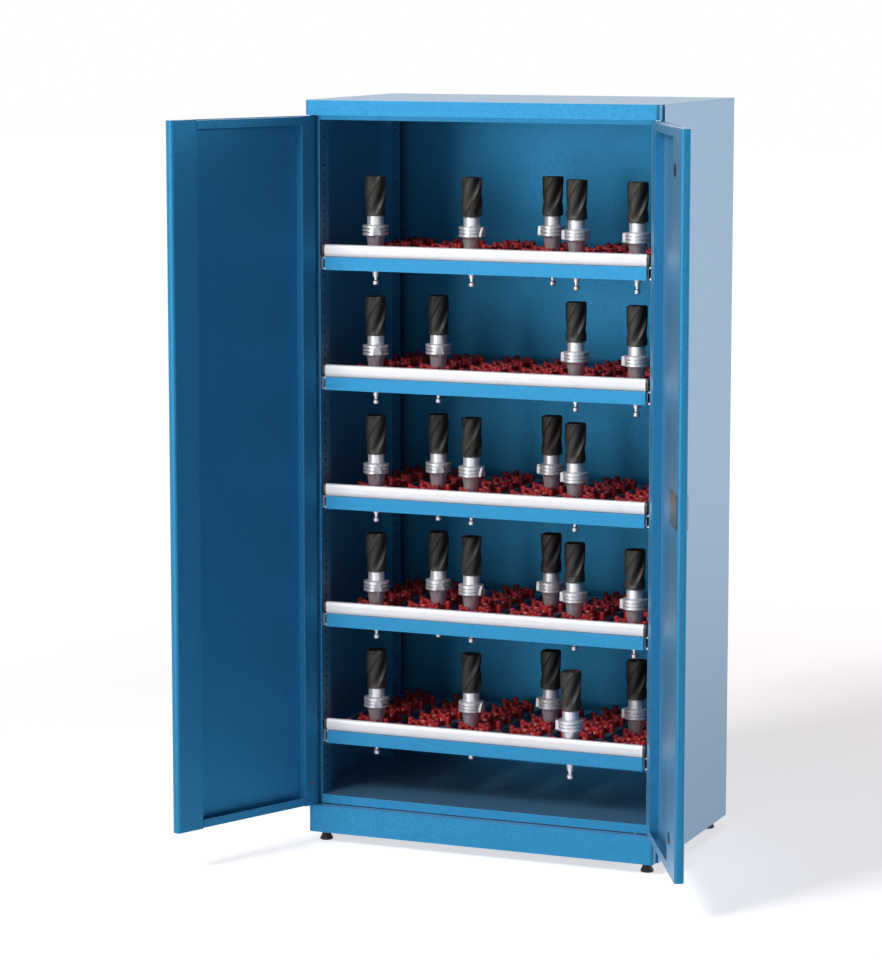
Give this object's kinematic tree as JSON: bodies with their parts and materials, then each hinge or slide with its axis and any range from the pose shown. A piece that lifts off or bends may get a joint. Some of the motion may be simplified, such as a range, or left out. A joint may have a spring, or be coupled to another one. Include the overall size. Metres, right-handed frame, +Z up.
{
  "type": "tool cabinet with doors",
  "caption": "Tall steel tool cabinet with two hinged doors, a turn-knob rod lock and pull-out carriers whose conical sockets hold machine tool holders.",
  "frame": {"origin": "on the floor, under the middle of the box that holds the cabinet with its doors open", "axes": "+X to the viewer's right when facing the doors, +Y to the back panel, +Z up"},
  "size_m": [1.4204, 1.0511, 2.03],
  "materials": {
    "powder_coat": "semi-gloss blue powder coat with a fine orange peel",
    "powder_coat_dark": "semi-gloss darker blue powder coat",
    "zinc_steel": "bright zinc plating",
    "tool_steel": "fine ground steel",
    "anodised_aluminium": "satin anodised",
    "red_plastic": "matt moulded red",
    "black_plastic": "matt moulded black",
    "black_rubber": "matt moulded rubber",
    "bronze_plate": "matt brown grey lacquer"
  },
  "bodies": {
    "cabinet": {"side_panel_left": "powder_coat", "side_panel_right": "powder_coat", "back_panel": "powder_coat", "top_cover": "powder_coat", "door_stop_rail": "powder_coat", "floor_panel": "powder_coat", "plinth": "powder_coat", "base_rails": "powder_coat_dark", "uprights": "powder_coat", "foot_pads": "black_rubber", "foot_screws": "zinc_steel", "slide_outers": "zinc_steel", "pivot_pins": "zinc_steel", "catch_magnets": "black_plastic"},
    "door_left": {"door_left_shell": "powder_coat", "door_left_stiles": "powder_coat"},
    "door_right": {"door_right_shell": "powder_coat", "door_right_stiles": "powder_coat", "lock_case": "bronze_plate", "lock_cover": "bronze_plate", "rod_guides": "black_plastic", "stile_plugs": "black_plastic"},
    "turn_knob": {"turn_knob": "black_plastic"},
    "rod_upper": {"rod_upper": "zinc_steel"},
    "rod_lower": {"rod_lower": "zinc_steel"},
    "shelf_1": {"shelf_1_frame": "powder_coat", "shelf_1_handle": "anodised_aluminium", "shelf_1_carriers": "powder_coat_dark", "shelf_1_inserts": "red_plastic", "shelf_1_tools": "tool_steel", "shelf_1_slide_inner": "zinc_steel"},
    "slide_mid_1": {"shelf_1_slide_mid": "zinc_steel"},
    "shelf_2": {"shelf_2_frame": "powder_coat", "shelf_2_handle": "anodised_aluminium", "shelf_2_carriers": "powder_coat_dark", "shelf_2_inserts": "red_plastic", "shelf_2_tools": "tool_steel", "shelf_2_slide_inner": "zinc_steel"},
    "slide_mid_2": {"shelf_2_slide_mid": "zinc_steel"},
    "shelf_3": {"shelf_3_frame": "powder_coat", "shelf_3_handle": "anodised_aluminium", "shelf_3_carriers": "powder_coat_dark", "shelf_3_inserts": "red_plastic", "shelf_3_tools": "tool_steel", "shelf_3_slide_inner": "zinc_steel"},
    "slide_mid_3": {"shelf_3_slide_mid": "zinc_steel"},
    "shelf_4": {"shelf_4_frame": "powder_coat", "shelf_4_handle": "anodised_aluminium", "shelf_4_carriers": "powder_coat_dark", "shelf_4_inserts": "red_plastic", "shelf_4_tools": "tool_steel", "shelf_4_slide_inner": "zinc_steel"},
    "slide_mid_4": {"shelf_4_slide_mid": "zinc_steel"},
    "shelf_5": {"shelf_5_frame": "powder_coat", "shelf_5_handle": "anodised_aluminium", "shelf_5_carriers": "powder_coat_dark", "shelf_5_inserts": "red_plastic", "shelf_5_tools": "tool_steel", "shelf_5_slide_inner": "zinc_steel"},
    "slide_mid_5": {"shelf_5_slide_mid": "zinc_steel"}
  },
  "joints": [
    {"name": "door_left_hinge", "type": "hinge", "parent": "cabinet", "child": "door_left", "pos_m": [-0.491, -0.077, 1.0465], "axis": [0, 0, -1], "range_deg": [-114, 0]},
    {"name": "door_right_hinge", "type": "hinge", "parent": "cabinet", "child": "door_right", "pos_m": [0.491, -0.077, 1.0465], "axis": [0, 0, 1], "range_deg": [-117, 0]},
    {"name": "knob_turn", "type": "hinge", "parent": "door_right", "child": "turn_knob", "pos_m": [0.68526, -0.45164, 1.044], "axis": [-0.891, -0.454, 0], "range_deg": [0, 90]},
    {"name": "rod_upper_slide", "type": "slide", "parent": "door_right", "child": "rod_upper", "axis": [0, 0, 1], "range_m": [0, 0.012]},
    {"name": "rod_lower_slide", "type": "slide", "parent": "door_right", "child": "rod_lower", "axis": [0, 0, -1], "range_m": [0, 0.0121]},
    {"name": "shelf_1_pull", "type": "slide", "parent": "cabinet", "child": "shelf_1", "axis": [0, -1, 0], "range_m": [0, 0.48]},
    {"name": "slide_mid_1_travel", "type": "slide", "parent": "cabinet", "child": "slide_mid_1", "axis": [0, -1, 0], "range_m": [0, 0.241]},
    {"name": "shelf_2_pull", "type": "slide", "parent": "cabinet", "child": "shelf_2", "axis": [0, -1, 0], "range_m": [0, 0.48]},
    {"name": "slide_mid_2_travel", "type": "slide", "parent": "cabinet", "child": "slide_mid_2", "axis": [0, -1, 0], "range_m": [0, 0.241]},
    {"name": "shelf_3_pull", "type": "slide", "parent": "cabinet", "child": "shelf_3", "axis": [0, -1, 0], "range_m": [0, 0.48]},
    {"name": "slide_mid_3_travel", "type": "slide", "parent": "cabinet", "child": "slide_mid_3", "axis": [0, -1, 0], "range_m": [0, 0.241]},
    {"name": "shelf_4_pull", "type": "slide", "parent": "cabinet", "child": "shelf_4", "axis": [0, -1, 0], "range_m": [0, 0.48]},
    {"name": "slide_mid_4_travel", "type": "slide", "parent": "cabinet", "child": "slide_mid_4", "axis": [0, -1, 0], "range_m": [0, 0.241]},
    {"name": "shelf_5_pull", "type": "slide", "parent": "cabinet", "child": "shelf_5", "axis": [0, -1, 0], "range_m": [0, 0.48]},
    {"name": "slide_mid_5_travel", "type": "slide", "parent": "cabinet", "child": "slide_mid_5", "axis": [0, -1, 0], "range_m": [0, 0.241]}
  ],
  "couplings": [
    {"joint": "rod_lower_slide", "follows": "rod_upper_slide", "ratio": 1},
    {"joint": "knob_turn", "follows": "rod_upper_slide", "rad_per_m": 130.89},
    {"joint": "slide_mid_1_travel", "follows": "shelf_1_pull", "ratio": 0.5},
    {"joint": "slide_mid_2_travel", "follows": "shelf_2_pull", "ratio": 0.5},
    {"joint": "slide_mid_3_travel", "follows": "shelf_3_pull", "ratio": 0.5},
    {"joint": "slide_mid_4_travel", "follows": "shelf_4_pull", "ratio": 0.5},
    {"joint": "slide_mid_5_travel", "follows": "shelf_5_pull", "ratio": 0.5}
  ]
}
